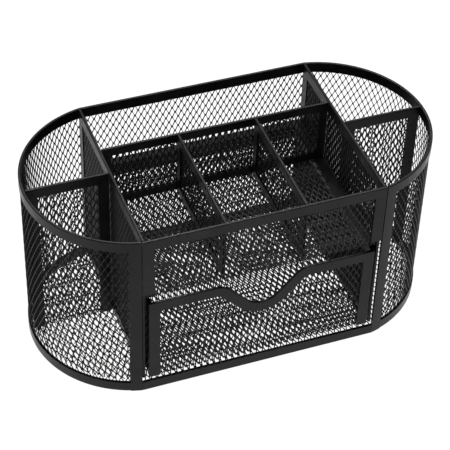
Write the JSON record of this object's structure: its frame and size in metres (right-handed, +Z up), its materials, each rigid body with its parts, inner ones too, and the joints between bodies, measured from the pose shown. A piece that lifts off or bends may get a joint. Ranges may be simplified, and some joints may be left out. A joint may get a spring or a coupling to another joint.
{
  "type": "desk organizer",
  "caption": "Black steel mesh desk organizer with rounded ends, upright pockets at both ends, shallow trays between them, and a sliding drawer with a finger dip below.",
  "frame": {"origin": "centre of the outline at desk level, under the middle of the organizer", "axes": "+X to the right along the length, +Y to the back, so that the drawer opens towards -Y, and +Z up"},
  "size_m": [0.205, 0.103, 0.098],
  "materials": {
    "mesh": "semi-gloss black powder coat on expanded steel mesh",
    "strip": "semi-gloss black powder coat on folded steel strip"
  },
  "bodies": {
    "frame": {"base_floor_mesh": "mesh", "base_front_strip": "strip", "end_divider_left_mesh": "mesh", "end_divider_left_rim_strip": "strip", "end_divider_left_top_strip": "strip", "end_divider_left_wall_strip": "strip", "end_divider_right_mesh": "mesh", "end_divider_right_rim_strip": "strip", "end_divider_right_top_strip": "strip", "end_divider_right_wall_strip": "strip", "front_panel_left_strip": "strip", "front_panel_mesh": "mesh", "front_panel_right_strip": "strip", "front_panel_top_strip": "strip", "rear_divider_bottom_strip": "strip", "rear_divider_left_strip": "strip", "rear_divider_mesh": "mesh", "rear_divider_right_strip": "strip", "rear_divider_top_strip": "strip", "rim_bottom_back": "strip", "rim_bottom_left": "strip", "rim_bottom_right": "strip", "rim_top_back": "strip", "rim_top_left": "strip", "rim_top_right": "strip", "shell_back_mesh": "mesh", "shell_end_strip_left": "strip", "shell_end_strip_right": "strip", "shell_left_mesh": "mesh", "shell_right_mesh": "mesh", "tray_divider_left_edge_strip": "strip", "tray_divider_left_mesh": "mesh", "tray_divider_right_edge_strip": "strip", "tray_divider_right_mesh": "mesh", "tray_floor_left_strip": "strip", "tray_floor_mesh": "mesh", "tray_floor_rear_strip": "strip", "tray_floor_right_strip": "strip", "wall_left_bottom_strip": "strip", "wall_left_front_strip": "strip", "wall_left_mesh": "mesh", "wall_left_rear_strip": "strip", "wall_left_top_strip": "strip", "wall_right_bottom_strip": "strip", "wall_right_front_strip": "strip", "wall_right_mesh": "mesh", "wall_right_rear_strip": "strip", "wall_right_top_strip": "strip"},
    "drawer": {"drawer_back_mesh": "mesh", "drawer_back_top_strip": "strip", "drawer_floor_mesh": "mesh", "drawer_front_left_strip": "strip", "drawer_front_mesh": "mesh", "drawer_front_right_strip": "strip", "drawer_front_top_strip": "strip", "drawer_left_side_mesh": "mesh", "drawer_left_side_top_strip": "strip", "drawer_right_side_mesh": "mesh", "drawer_right_side_top_strip": "strip"}
  },
  "joints": [
    {"name": "drawer_slide", "type": "slide", "parent": "frame", "child": "drawer", "axis": [0, -1, 0], "range_m": [0, 0.085]}
  ]
}
